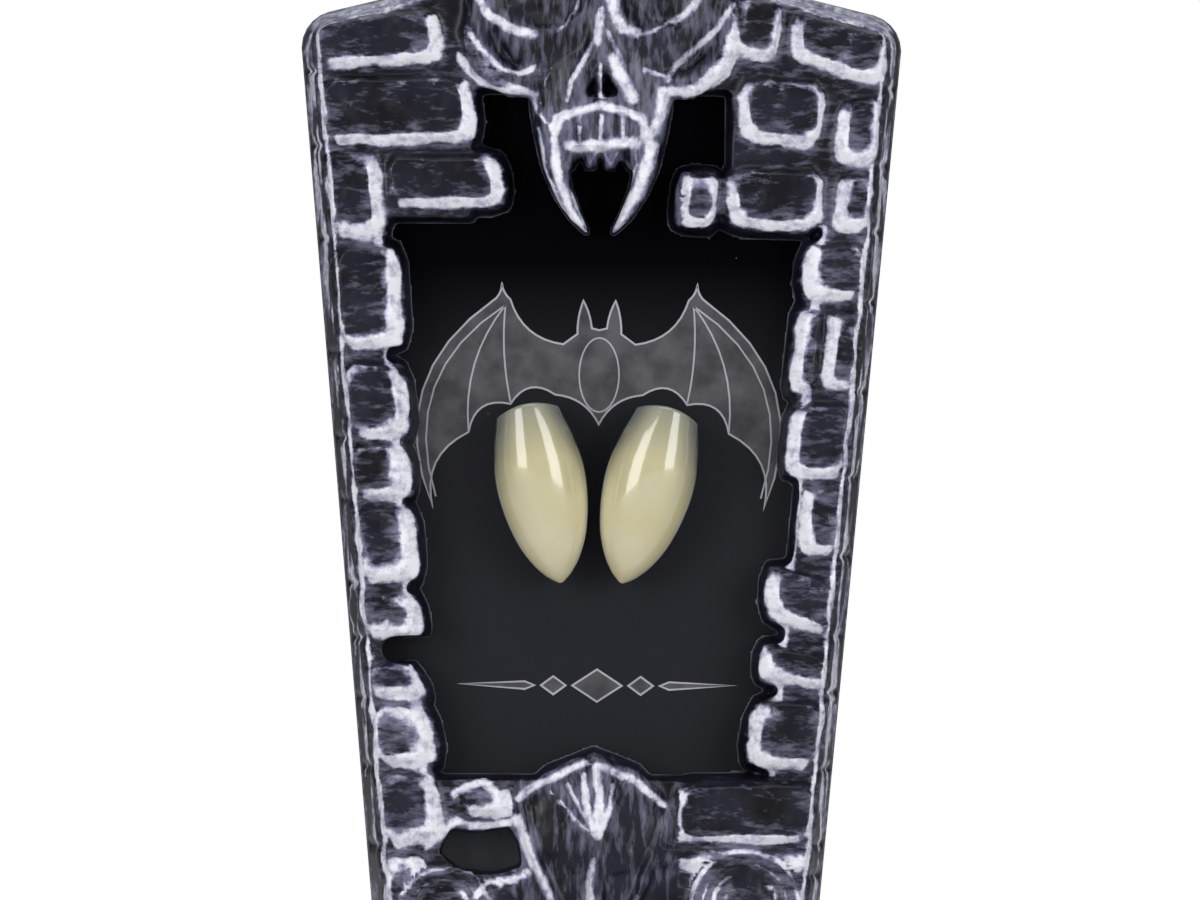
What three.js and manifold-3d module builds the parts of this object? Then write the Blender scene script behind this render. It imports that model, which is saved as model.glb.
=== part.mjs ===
// A pair of hollow vampire fang caps lying on the card of a coffin-shaped display box.
// Millimetres, +Z up. The box stands on its flat foot and its front faces -Y.

import * as THREE from "three";
import { mergeVertices } from "three/addons/utils/BufferGeometryUtils.js";
import Module from "manifold-3d";

const wasm = await Module();
wasm.setup();

// Driving dimensions of the box, front view
const foot_width = 43.8;
const shoulder_width = 63.3;
const shoulder_height = 109.5;
const shoulder_round = 3.9;
const gable_height = 116.5;
const crown_radius = 15.6;

// Driving dimensions of the box, depth
const case_depth = 22;
const tray_depth = 6.5;
const sheet = 1.2;
const side_draft = 1.3;
const front_round = 0.5;
const lip_depth = 1.5;
const clearance = 0.3;

// Window and card
const border_width = 7.2;
const window_setback = 2;
const window_sill = 33;
const window_head = 91;
const window_depth = 4.4;
const window_draft = 0.5;
const pocket_width = 26.4;
const pocket_head = 104.6;
const card_thickness = 0.8;

// Raised stones
const stone_rise = 1.3;
const bevel_depth = 1;
const window_bevel = 1.35;
const wall_bevel = 0.35;
const lower_bevel = 1;
const upper_bevel = 0.6;
const bone_bevel = 0.85;
const stone_sink = 0.4;
const joint_half = 0.3;
const joint_height = 1.1;
const joint_depth = 0.7;
const flange_depth = 1.6;

// Raised skull, leaf mound and bosses
const skull_width = 28.4;
const skull_rise = 3.8;
const nose_height = 104.2;
const mound_width = 15.4;
const mound_rise = 2.2;
const mound_height = 28.5;
const boss_radius = 6.1;
const boss_rise = 1.9;
const left_boss_share = 0.88;
const left_boss_height = 18.2;
const right_boss_height = 19.6;
const boss_spacing = 31.5;

// Fang caps
const fang_length = 19.5;
const fang_width = 9.45;
const fang_thickness = 8;
const fang_wall = 0.8;
const fang_front_share = 0.6;
const socket_depth = 12.2;
const gum_arch = 0.85;
const tip_drop = 0.9;
const tip_height = 53.2;
const left_tip_x = -3.85;
const left_tilt_deg = 11.5;
const right_tip_x = 2.5;
const right_tilt_deg = 15;

// Depth planes, front negative
const back_y = case_depth / 2;
const tray_rim_y = back_y - tray_depth;
const cover_rim_y = tray_rim_y - clearance;
const mortar_y = skull_rise - case_depth / 2;
const face_y = mortar_y - stone_rise;
const foot_y = mortar_y + window_depth;
const card_y = foot_y + clearance;
const fang_back_y = card_y - clearance;

// Resolution of round forms
const arc_steps = 5;
const crown_steps = 16;
const ball_columns = 18;
const ball_rows = 10;
const fang_sides = 20;
const boss_sides = 22;
const overshoot = 1;

// Stones of the side columns: heights are shares of shoulder_height, and start and reach are
// shares of border_width inwards from the front edge, reach at the lower and the upper end.
// lean raises the inner end, as a share of shoulder_height.
const left_stones = [
  { bottom: 0.976, top: 1.028, start: -0.03, reach_low: 1.84, reach_high: 1.82, lean: 0.008 },
  { bottom: 0.904, top: 0.971, start: -0.03, reach_low: 2.26, reach_high: 2.2, lean: 0.003 },
  { bottom: 0.845, top: 0.897, start: 0.86, reach_low: 2.6, reach_high: 2.56, lean: 0 },
  { bottom: 0.815, top: 0.9, start: -0.03, reach_low: 0.8, reach_high: 0.78, lean: 0 },
  { bottom: 0.706, top: 0.808, start: -0.03, reach_low: 0.93, reach_high: 0.95, lean: 0.004 },
  { bottom: 0.624, top: 0.7, start: -0.03, reach_low: 0.94, reach_high: 0.89, lean: -0.003 },
  { bottom: 0.564, top: 0.619, start: -0.03, reach_low: 0.88, reach_high: 0.85, lean: 0.002 },
  { bottom: 0.484, top: 0.56, start: -0.03, reach_low: 0.87, reach_high: 0.87, lean: 0 },
  { bottom: 0.432, top: 0.48, start: -0.03, reach_low: 0.89, reach_high: 0.82, lean: -0.004 },
  { bottom: 0.374, top: 0.409, start: -0.03, reach_low: 0.89, reach_high: 0.6, lean: 0 },
  { bottom: 0.308, top: 0.37, start: -0.03, reach_low: 0.97, reach_high: 0.85, lean: 0 },
  { bottom: 0.232, top: 0.304, start: -0.03, reach_low: 0.95, reach_high: 0.88, lean: 0.002 },
  { bottom: 0.259, top: 0.292, start: 1.2, reach_low: 1.94, reach_high: 1.98, lean: 0 },
  { bottom: 0.14, top: 0.225, start: -0.03, reach_low: 0.58, reach_high: 0.62, lean: 0 },
  { bottom: 0.07, top: 0.13, start: -0.03, reach_low: 1.25, reach_high: 1.2, lean: 0 },
  { bottom: 0.07, top: 0.13, start: 1.31, reach_low: 2.2, reach_high: 2.2, lean: 0 },
  { bottom: 0.006, top: 0.064, start: -0.03, reach_low: 0.8, reach_high: 0.8, lean: 0 },
  { bottom: 0.006, top: 0.064, start: 0.87, reach_low: 2.3, reach_high: 2.3, lean: 0 },
];
const right_stones = [
  { bottom: 0.963, top: 1.012, start: -0.03, reach_low: 1.38, reach_high: 1.38, lean: 0.026 },
  { bottom: 0.985, top: 1.046, start: 1.56, reach_low: 2.26, reach_high: 2.26, lean: 0.006 },
  { bottom: 0.904, top: 0.969, start: 0.82, reach_low: 2.06, reach_high: 2.1, lean: 0.006 },
  { bottom: 0.889, top: 0.956, start: -0.03, reach_low: 0.62, reach_high: 0.6, lean: 0 },
  { bottom: 0.824, top: 0.885, start: 0.71, reach_low: 2.1, reach_high: 2.16, lean: 0.002 },
  { bottom: 0.826, top: 0.88, start: 2.24, reach_low: 2.84, reach_high: 2.82, lean: 0.002 },
  { bottom: 0.825, top: 0.88, start: -0.03, reach_low: 0.52, reach_high: 0.5, lean: 0 },
  { bottom: 0.757, top: 0.815, start: -0.03, reach_low: 0.93, reach_high: 0.9, lean: 0 },
  { bottom: 0.668, top: 0.751, start: 0.53, reach_low: 0.94, reach_high: 0.92, lean: 0 },
  { bottom: 0.671, top: 0.751, start: -0.03, reach_low: 0.48, reach_high: 0.46, lean: 0 },
  { bottom: 0.588, top: 0.662, start: -0.03, reach_low: 0.91, reach_high: 0.87, lean: 0 },
  { bottom: 0.513, top: 0.582, start: -0.03, reach_low: 0.62, reach_high: 0.6, lean: 0 },
  { bottom: 0.436, top: 0.492, start: -0.03, reach_low: 0.94, reach_high: 0.98, lean: 0.015 },
  { bottom: 0.382, top: 0.42, start: -0.03, reach_low: 0.97, reach_high: 0.96, lean: 0.011 },
  { bottom: 0.308, top: 0.376, start: -0.03, reach_low: 1.1, reach_high: 1, lean: 0.002 },
  { bottom: 0.236, top: 0.298, start: -0.03, reach_low: 2.12, reach_high: 2.1, lean: -0.002 },
  { bottom: 0.206, top: 0.232, start: -0.03, reach_low: 2.42, reach_high: 2.46, lean: 0.006 },
  { bottom: 0.137, top: 0.2, start: -0.03, reach_low: 0.44, reach_high: 0.4, lean: 0 },
  { bottom: 0.07, top: 0.13, start: -0.03, reach_low: 0.7, reach_high: 0.7, lean: 0 },
  { bottom: 0.07, top: 0.13, start: 0.77, reach_low: 2.2, reach_high: 2.2, lean: 0 },
  { bottom: 0.006, top: 0.064, start: -0.03, reach_low: 1.4, reach_high: 1.4, lean: 0 },
  { bottom: 0.006, top: 0.064, start: 1.47, reach_low: 2.3, reach_high: 2.3, lean: 0 },
];
const corner_cut = 0.31;
const outer_corner_share = 0.6;
const side_notch = { side: -1, height: 0.4215, half: 0.0105, reach: 0.27 };

// Corners of the small opening beside the leaf mound, anticlockwise: across from the mound's
// middle and up from its centre as shares of mound_width
const side_opening = [
  { across: -0.92, up: -0.35 },
  { across: -0.7, up: -0.37 },
  { across: -0.52, up: -0.32 },
  { across: -0.54, up: -0.17 },
  { across: -0.6, up: -0.07 },
  { across: -0.76, up: -0.11 },
  { across: -0.9, up: -0.11 },
  { across: -0.99, up: -0.08 },
  { across: -1.06, up: -0.24 },
];

// Skull ridges, each mirrored: across and up from the nose base and half width are shares of
// skull_width, and rise is a share of skull_rise.
const cheekbone = [
  { across: 0.2, up: 0.05, half: 0.05, rise: 0.62 },
  { across: 0.33, up: 0.05, half: 0.062, rise: 0.66 },
  { across: 0.43, up: 0.12, half: 0.066, rise: 0.6 },
  { across: 0.47, up: 0.24, half: 0.06, rise: 0.5 },
  { across: 0.45, up: 0.38, half: 0.05, rise: 0.45 },
];
const brow = [
  { across: 0.04, up: 0.47, half: 0.05, rise: 0.86 },
  { across: 0.16, up: 0.56, half: 0.055, rise: 0.92 },
  { across: 0.3, up: 0.58, half: 0.055, rise: 0.84 },
  { across: 0.42, up: 0.5, half: 0.05, rise: 0.62 },
];
const nose_rim = [
  { across: 0.012, up: 0.32, half: 0.028, rise: 0.92 },
  { across: 0.035, up: 0.21, half: 0.03, rise: 0.98 },
  { across: 0.085, up: 0.09, half: 0.03, rise: 0.98 },
  { across: 0.125, up: -0.01, half: 0.028, rise: 0.9 },
];
const gum_band = [
  { across: 0.002, up: -0.045, half: 0.028, rise: 0.98 },
  { across: 0.09, up: -0.052, half: 0.028, rise: 0.95 },
  { across: 0.15, up: -0.08, half: 0.028, rise: 0.86 },
  { across: 0.17, up: -0.14, half: 0.026, rise: 0.76 },
];
const bite_band = [
  { across: 0.002, up: -0.175, half: 0.02, rise: 0.93 },
  { across: 0.075, up: -0.175, half: 0.02, rise: 0.9 },
  { across: 0.135, up: -0.18, half: 0.018, rise: 0.8 },
];
const skull_fang = [
  { across: 0.225, up: 0.08, half: 0.04, rise: 0.6 },
  { across: 0.212, up: -0.03, half: 0.052, rise: 0.66 },
  { across: 0.19, up: -0.14, half: 0.054, rise: 0.7 },
  { across: 0.17, up: -0.25, half: 0.048, rise: 0.66 },
  { across: 0.138, up: -0.35, half: 0.036, rise: 0.54 },
  { across: 0.092, up: -0.44, half: 0.024, rise: 0.34 },
  { across: 0.042, up: -0.505, half: 0.008, rise: 0.14 },
];
const tooth_places = [-0.115, -0.038, 0.038, 0.115];
const tooth = [
  { up: -0.05, half: 0.032, rise: 0.86 },
  { up: -0.16, half: 0.036, rise: 0.9 },
  { up: -0.22, half: 0.034, rise: 0.72 },
  { up: -0.265, half: 0.018, rise: 0.5 },
];
const cranium = { up: 0.44, radius: 0.455, rise: 0.86 };
const face = { up: 0.04, half_width: 0.235, half_height: 0.27, rise: 0.88 };
const socket = { across: 0.225, up: 0.385, half_width: 0.17, half_height: 0.15, depth: 0.9 };
const nose_hole = { half: 0.075, bottom: 0, top: 0.15, depth: 0.9 };
const nose_septum = { half: 0.014, bottom: -0.03, top: 0.11, rise: 0.72 };

// Leaf mound ridges: across and up from the mound's centre and half width are shares of
// mound_width, and rise is a share of mound_rise.
const leaf_arch = [
  { across: -0.49, up: 0.12, half: 0.05, rise: 0.5 },
  { across: -0.33, up: 0.27, half: 0.06, rise: 0.62 },
  { across: -0.02, up: 0.39, half: 0.065, rise: 0.8 },
  { across: 0.28, up: 0.28, half: 0.06, rise: 0.66 },
  { across: 0.47, up: 0.06, half: 0.05, rise: 0.5 },
];
const leaf_sides = [
  [
    { across: -0.5, up: 0.12, half: 0.045, rise: 0.5 },
    { across: -0.44, up: -0.2, half: 0.05, rise: 0.6 },
    { across: -0.28, up: -0.62, half: 0.05, rise: 0.6 },
    { across: -0.17, up: -1, half: 0.05, rise: 0.6 },
    { across: -0.07, up: -1.45, half: 0.05, rise: 0.5 },
  ],
  [
    { across: 0.49, up: 0.08, half: 0.045, rise: 0.5 },
    { across: 0.4, up: -0.25, half: 0.05, rise: 0.6 },
    { across: 0.26, up: -0.62, half: 0.05, rise: 0.6 },
    { across: 0.16, up: -1, half: 0.05, rise: 0.6 },
    { across: 0.07, up: -1.45, half: 0.05, rise: 0.5 },
  ],
];
const leaf_flute_count = 5;
const leaf_flute_spread_deg = 26;
const leaf_flute = [
  { along: 0.04, half: 0.02, rise: 0.95 },
  { along: 0.3, half: 0.034, rise: 1 },
  { along: 0.5, half: 0.026, rise: 0.9 },
];
const leaf_flute_root = -0.16;
const leaf_body = { half_width: 0.46, half_height: 0.42, rise: 0.72 };
const leaf_stem = [
  { up: -0.1, half: 0.05, rise: 0.86 },
  { up: -0.5, half: 0.07, rise: 0.8 },
  { up: -1, half: 0.09, rise: 0.66 },
  { up: -1.6, half: 0.1, rise: 0.6 },
];

// Boss profile from the rim to the centre: radius and rise as shares of the boss's own sizes
const boss_profile = [
  { radius: 1, rise: 0.05 },
  { radius: 0.9, rise: 0.5 },
  { radius: 0.78, rise: 0.62 },
  { radius: 0.7, rise: 0.52 },
  { radius: 0.58, rise: 0.84 },
  { radius: 0.46, rise: 0.8 },
  { radius: 0.28, rise: 1 },
];

// Fang half width and half depth up the tooth, as shares of the full sizes
const fang_profile = [
  { along: 0.004, width: 0.06, depth: 0.055 },
  { along: 0.03, width: 0.21, depth: 0.19 },
  { along: 0.06, width: 0.335, depth: 0.305 },
  { along: 0.12, width: 0.525, depth: 0.485 },
  { along: 0.22, width: 0.735, depth: 0.69 },
  { along: 0.33, width: 0.875, depth: 0.835 },
  { along: 0.44, width: 0.96, depth: 0.93 },
  { along: 0.55, width: 1, depth: 0.985 },
  { along: 0.65, width: 0.985, depth: 1 },
  { along: 0.74, width: 0.925, depth: 0.97 },
  { along: 0.82, width: 0.865, depth: 0.93 },
  { along: 0.91, width: 0.77, depth: 0.87 },
  { along: 1, width: 0.685, depth: 0.8 },
];

const degrees = Math.PI / 180;
const mirror_point = (point) => ({ ...point, across: -point.across });

// Half width of the box's rim at a height, and of its front edge
function rim_half(height) {
  const foot_half = foot_width / 2;
  const slope = (shoulder_width / 2 - foot_half) / shoulder_height;
  return foot_half + slope * height;
}

function front_half(height) {
  return rim_half(height) - side_draft - front_round;
}

// How far the cover's wall has drawn in at a depth
function draft_at(y) {
  return side_draft * THREE.MathUtils.clamp((cover_rim_y - y) / (cover_rim_y - mortar_y), 0, 1);
}

// Coffin outline seen from the front, anticlockwise from the left foot, as [x, z] pairs
function case_outline(inset, foot_inset = 0) {
  const right_side = [[rim_half(foot_inset) - inset, foot_inset]];
  const round = Math.max(shoulder_round - inset, 0.6);
  const round_x = shoulder_width / 2 - inset - round;
  for (let step = 0; step <= arc_steps; step += 1) {
    const angle = (step / arc_steps) * 75 * degrees;
    right_side.push([round_x + round * Math.cos(angle), shoulder_height + round * Math.sin(angle)]);
  }
  const radius = crown_radius - inset;
  for (let step = 0; step <= crown_steps / 2; step += 1) {
    const angle = (step / (crown_steps / 2)) * 90 * degrees;
    right_side.push([radius * Math.cos(angle), gable_height - inset * 0.4 + radius * Math.sin(angle)]);
  }
  const left_side = right_side.slice(0, -1).reverse().map(([x, z]) => [-x, z]);
  return [...right_side, ...left_side];
}

// Moves every corner of an anticlockwise polygon inwards by a distance
function inset_polygon(points, distance) {
  return points.map((point, index) => {
    const before = points[(index + points.length - 1) % points.length];
    const after = points[(index + 1) % points.length];
    const [ax, az] = unit(point[0] - before[0], point[1] - before[1]);
    const [bx, bz] = unit(after[0] - point[0], after[1] - point[1]);
    const [nx, nz] = unit(-az - bz, ax + bx);
    const stretch = 1 / Math.max(nx * -az + nz * ax, 0.4);
    return [point[0] + nx * distance * stretch, point[1] + nz * distance * stretch];
  });
}

function unit(x, z) {
  const length = Math.hypot(x, z);
  return [x / length, z / length];
}

// A closed solid through rings of equally many points, closed at both ends by a fan
function loft(rings) {
  const count = rings[0].length;
  const points = rings.flat();
  const triangles = [];
  for (let row = 0; row + 1 < rings.length; row += 1) {
    for (let column = 0; column < count; column += 1) {
      const a = row * count + column;
      const b = row * count + ((column + 1) % count);
      triangles.push([a, b, b + count], [a, b + count, a + count]);
    }
  }
  for (const [row, flip] of [[0, true], [rings.length - 1, false]]) {
    const centre = points.length;
    points.push(ring_centre(rings[row]));
    for (let column = 0; column < count; column += 1) {
      const a = row * count + column;
      const b = row * count + ((column + 1) % count);
      triangles.push(flip ? [b, a, centre] : [a, b, centre]);
    }
  }
  return manifold_from(points, triangles);
}

function ring_centre(ring) {
  const centre = new THREE.Vector3();
  ring.forEach((point) => centre.add(point));
  return centre.divideScalar(ring.length);
}

// Turns points and triangles into a solid, faces outwards
function manifold_from(points, triangles) {
  let volume = 0;
  for (const [a, b, c] of triangles) {
    volume += points[a].dot(new THREE.Vector3().crossVectors(points[b], points[c]));
  }
  const outward = volume > 0 ? triangles : triangles.map(([a, b, c]) => [a, c, b]);
  return new wasm.Manifold(new wasm.Mesh({
    numProp: 3,
    vertProperties: new Float32Array(points.flatMap((point) => point.toArray())),
    triVerts: new Uint32Array(outward.flat()),
  }));
}

function solid_from_geometry(geometry) {
  geometry.deleteAttribute("normal");
  geometry.deleteAttribute("uv");
  const merged = mergeVertices(geometry, 1e-4);
  const position = merged.getAttribute("position");
  const index = merged.getIndex();
  const points = [];
  for (let vertex = 0; vertex < position.count; vertex += 1) {
    points.push(new THREE.Vector3().fromBufferAttribute(position, vertex));
  }
  const triangles = [];
  for (let corner = 0; corner < index.count; corner += 3) {
    const triangle = [index.getX(corner), index.getX(corner + 1), index.getX(corner + 2)];
    if (new Set(triangle).size === 3) triangles.push(triangle);
  }
  return manifold_from(points, triangles);
}

// A solid through front-view outlines at given depths
function layered(levels) {
  return loft(levels.map(({ y, outline }) => outline.map(([x, z]) => new THREE.Vector3(x, y, z))));
}

function join(solids) {
  return solids.reduce((joined, solid) => joined.add(solid));
}

function ellipsoid(x, y, z, radius_x, radius_y, radius_z) {
  const geometry = new THREE.SphereGeometry(1, ball_columns, ball_rows);
  geometry.scale(radius_x, radius_y, radius_z);
  geometry.translate(x, y, z);
  return solid_from_geometry(geometry);
}

// A rounded ridge along points {x, z, half, rise} that stands on the plane base_y
function ridge(points, base_y) {
  const rings = points.map((point, index) => {
    const before = points[Math.max(index - 1, 0)];
    const after = points[Math.min(index + 1, points.length - 1)];
    const [tx, tz] = unit(after.x - before.x, after.z - before.z);
    const across = (offset, y) => new THREE.Vector3(point.x - tz * offset, y, point.z + tx * offset);
    const ring = [across(point.half, base_y)];
    for (let step = 0; step <= arc_steps; step += 1) {
      const angle = (step / arc_steps) * Math.PI;
      ring.push(across(point.half * Math.cos(angle), mortar_y - point.rise * Math.sin(angle)));
    }
    ring.push(across(-point.half, base_y));
    return ring;
  });
  return loft(rings);
}

// Stones

function stone_outline(stone, side) {
  const height_low = stone.bottom * shoulder_height;
  const height_high = stone.top * shoulder_height;
  const lift = stone.lean * shoulder_height;
  const corners = [
    [stone.start, height_low, 0],
    [stone.reach_low, height_low, lift],
    [stone.reach_high, height_high, lift],
    [stone.start, height_high, 0],
  ].map(([share, height, raise]) => {
    return [side * (front_half(height) - share * border_width), height + raise];
  });
  const outline = cut_corners(corners);
  return side > 0 ? outline.reverse() : outline;
}

// Cuts each corner of a four-sided outline back, more at the side that faces the window
function cut_corners(corners) {
  return corners.flatMap((corner, index) => {
    const faces_window = index === 1 || index === 2;
    const before = corners[(index + 3) % 4];
    const after = corners[(index + 1) % 4];
    const length_before = Math.hypot(before[0] - corner[0], before[1] - corner[1]);
    const length_after = Math.hypot(after[0] - corner[0], after[1] - corner[1]);
    const cut = corner_cut * (faces_window ? 1 : outer_corner_share) * Math.min(length_before, length_after);
    const towards = (target, length, share) => [
      corner[0] + ((target[0] - corner[0]) * cut * share) / length,
      corner[1] + ((target[1] - corner[1]) * cut * share) / length,
    ];
    const start = towards(before, length_before, 1);
    const end = towards(after, length_after, 1);
    const middle = [
      corner[0] * 0.5 + (start[0] + end[0]) * 0.25,
      corner[1] * 0.5 + (start[1] + end[1]) * 0.25,
    ];
    return faces_window ? [start, middle, end] : [start, end];
  });
}

// The flat face of a stone, inside bevels that are widest towards the window
function face_outline(stone, side) {
  const width = Math.min(stone.reach_low, stone.reach_high) - stone.start;
  const window_share = Math.min(window_bevel / border_width, width * 0.4);
  return stone_outline({
    bottom: stone.bottom + lower_bevel / shoulder_height,
    top: stone.top - upper_bevel / shoulder_height,
    start: stone.start + wall_bevel / border_width,
    reach_low: stone.reach_low - window_share,
    reach_high: stone.reach_high - window_share,
    lean: stone.lean,
  }, side);
}

function stone_block(stone, side) {
  const outline = stone_outline(stone, side);
  return layered([
    { y: mortar_y + stone_sink, outline },
    { y: face_y + bevel_depth, outline },
    { y: face_y, outline: face_outline(stone, side) },
  ]);
}

// Cover

function window_outline() {
  const main_half = (height) => front_half(height) - border_width + window_setback;
  const pocket_half = pocket_width / 2;
  return [
    [-main_half(window_sill), window_sill],
    [main_half(window_sill), window_sill],
    [main_half(window_head), window_head],
    [pocket_half, window_head],
    [pocket_half, pocket_head],
    [-pocket_half, pocket_head],
    [-pocket_half, window_head],
    [-main_half(window_head), window_head],
  ];
}

// The cover's drafted form, drawn in by an inset all round
function drafted_form(inset, foot_inset, depths) {
  const levels = depths.map((y) => ({
    y,
    outline: case_outline(inset + draft_at(y), foot_inset),
  }));
  return layered(levels);
}

function cover_shell() {
  const body = layered([
    { y: cover_rim_y, outline: case_outline(0) },
    { y: mortar_y + front_round, outline: case_outline(draft_at(mortar_y + front_round)) },
    { y: mortar_y, outline: case_outline(side_draft + front_round) },
  ]);
  const hollow = drafted_form(sheet, sheet, [back_y, cover_rim_y, foot_y]);
  const channel = drafted_form(sheet, sheet, [foot_y + overshoot, mortar_y + sheet]);
  const window = window_outline();
  const return_walls = return_wall(window).add(return_wall(side_opening_outline()));
  const opening = opening_cut(window, mortar_y - overshoot);
  return body.subtract(hollow).subtract(channel.subtract(return_walls)).subtract(opening);
}

// What stays of the cover's sheet around an opening, down to the card
function return_wall(outline) {
  return layered([
    { y: cover_rim_y, outline: inset_polygon(outline, -sheet) },
    { y: mortar_y, outline: inset_polygon(outline, -sheet - window_draft) },
  ]);
}

function opening_cut(outline, front_y) {
  return layered([
    { y: back_y, outline },
    { y: foot_y, outline },
    { y: front_y, outline: inset_polygon(outline, -window_draft) },
  ]);
}

function side_opening_outline() {
  return side_opening.map((row) => [row.across * mound_width, mound_height + row.up * mound_width]);
}

// A round-ended notch that the window cuts into the stone border between two courses
function notch_cut() {
  const height = side_notch.height * shoulder_height;
  const half = side_notch.half * shoulder_height;
  const edge_x = front_half(height) - border_width;
  const end_x = front_half(height) - side_notch.reach * border_width - half;
  const outline = [[edge_x - overshoot, height + half], [edge_x - overshoot, height - half]];
  for (let step = 0; step <= arc_steps; step += 1) {
    const angle = (step / arc_steps - 0.5) * Math.PI;
    outline.push([end_x + half * Math.cos(angle), height + half * Math.sin(angle)]);
  }
  const placed = outline.map(([x, z]) => [side_notch.side * x, z]);
  if (side_notch.side < 0) placed.reverse();
  return layered([
    { y: cover_rim_y, outline: placed },
    { y: -case_depth, outline: inset_polygon(placed, -window_draft) },
  ]);
}

// Stones that stand out into the window reach down to the foot of the cover's sheet
function stone_relief() {
  const sides = [[left_stones, -1], [right_stones, 1]];
  const for_each_stone = (build) => join(sides.flatMap(([stones, side]) => {
    return stones.map((stone) => build(stone, side));
  }));
  const window_zone = layered([
    { y: foot_y - overshoot / 100, outline: inset_polygon(window_outline(), -sheet) },
    { y: mortar_y, outline: inset_polygon(window_outline(), -sheet) },
  ]);
  const feet = for_each_stone(stone_foot).intersect(window_zone);
  return for_each_stone(stone_block).add(feet);
}

function stone_foot(stone, side) {
  const outline = stone_outline(stone, side);
  return layered([
    { y: foot_y, outline: inset_polygon(outline, -joint_half - window_draft) },
    { y: mortar_y, outline: inset_polygon(outline, -joint_half) },
  ]);
}

// Joints between the stone courses, cut across the side walls
function wall_joints() {
  const joints = [];
  for (const [stones, side] of [[left_stones, -1], [right_stones, 1]]) {
    for (const stone of stones.filter((row) => row.start < 0.1)) {
      const height = stone.bottom * shoulder_height;
      if (height < 2 * joint_height) continue;
      const levels = [cover_rim_y - flange_depth, mortar_y - overshoot].map((y) => {
        const wall_x = rim_half(height) - draft_at(y);
        const outline = [
          [wall_x - joint_depth, height],
          [wall_x + overshoot, height - joint_height],
          [wall_x + overshoot, height + joint_height],
        ].map(([x, z]) => [side * x, z]);
        return { y, outline: side > 0 ? outline : outline.reverse() };
      });
      joints.push(layered(levels));
    }
  }
  return join(joints);
}

// Skull

const skull_x = (across) => across * skull_width;
const skull_z = (up) => nose_height + up * skull_width;

function skull_ridge(rows, base_y) {
  return ridge(rows.map((row) => ({
    x: skull_x(row.across),
    z: skull_z(row.up),
    half: row.half * skull_width,
    rise: row.rise * skull_rise,
  })), base_y);
}

function skull_relief() {
  const sunk_y = mortar_y + stone_sink;
  const both_sides = (rows, base_y) => join([
    skull_ridge(rows, base_y),
    skull_ridge(rows.map(mirror_point), base_y),
  ]);
  const teeth = tooth_places.map((place) => {
    return skull_ridge(tooth.map((row) => ({ ...row, across: place })), foot_y);
  });
  const rounded = join([
    ellipsoid(0, mortar_y, skull_z(cranium.up), cranium.radius * skull_width,
      cranium.rise * skull_rise, cranium.radius * skull_width),
    ellipsoid(0, mortar_y, skull_z(face.up), face.half_width * skull_width,
      face.rise * skull_rise, face.half_height * skull_width),
  ]).intersect(front_slab(sunk_y));
  const bones = join([
    rounded,
    both_sides(cheekbone, sunk_y),
    both_sides(brow, sunk_y),
    both_sides(nose_rim, sunk_y),
    both_sides(gum_band, sunk_y),
    both_sides(bite_band, foot_y),
    both_sides(skull_fang, foot_y),
    jaw_base(),
    ...teeth,
  ]);
  const hollows = join([
    ...[-1, 1].map((side) => ellipsoid(
      side * skull_x(socket.across),
      mortar_y - skull_rise,
      skull_z(socket.up),
      socket.half_width * skull_width,
      socket.depth * skull_rise,
      socket.half_height * skull_width,
    )),
    nose_cut(),
  ]);
  return bones.subtract(hollows).add(septum());
}

// Everything in front of a plane
function front_slab(rear_y) {
  const reach = shoulder_width;
  const outline = [[-reach, -reach], [reach, -reach], [reach, 3 * reach], [-reach, 3 * reach]];
  return layered([
    { y: rear_y, outline },
    { y: -case_depth, outline },
  ]);
}

// The part of the upper jaw that stands in the window and carries the teeth
function jaw_base() {
  const outline = [
    [-0.16, -0.2], [0.16, -0.2], [0.24, 0.02], [0.24, 0.1], [-0.24, 0.1], [-0.24, 0.02],
  ].map(([across, up]) => [skull_x(across), skull_z(up)]);
  return layered([
    { y: foot_y, outline: inset_polygon(outline, -window_draft) },
    { y: mortar_y, outline },
    { y: mortar_y - skull_rise / 3, outline: inset_polygon(outline, bone_bevel) },
  ]);
}

function nose_cut() {
  const outline = [
    [-nose_hole.half, nose_hole.bottom],
    [nose_hole.half, nose_hole.bottom],
    [0, nose_hole.top],
  ].map(([across, up]) => [skull_x(across), skull_z(up)]);
  return layered([
    { y: mortar_y - skull_rise * (1 - nose_hole.depth), outline: inset_polygon(outline, bone_bevel / 2) },
    { y: mortar_y - skull_rise - overshoot, outline },
  ]);
}

function septum() {
  return ridge([nose_septum.bottom, nose_septum.top].map((up) => ({
    x: 0,
    z: skull_z(up),
    half: nose_septum.half * skull_width,
    rise: nose_septum.rise * skull_rise,
  })), mortar_y + stone_sink);
}

// Leaf mound and bosses

function mound_ridge(rows) {
  return ridge(rows.map((row) => ({
    x: row.across * mound_width,
    z: Math.max(mound_height + row.up * mound_width, sheet),
    half: row.half * mound_width,
    rise: row.rise * mound_rise,
  })), mortar_y + stone_sink);
}

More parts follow.
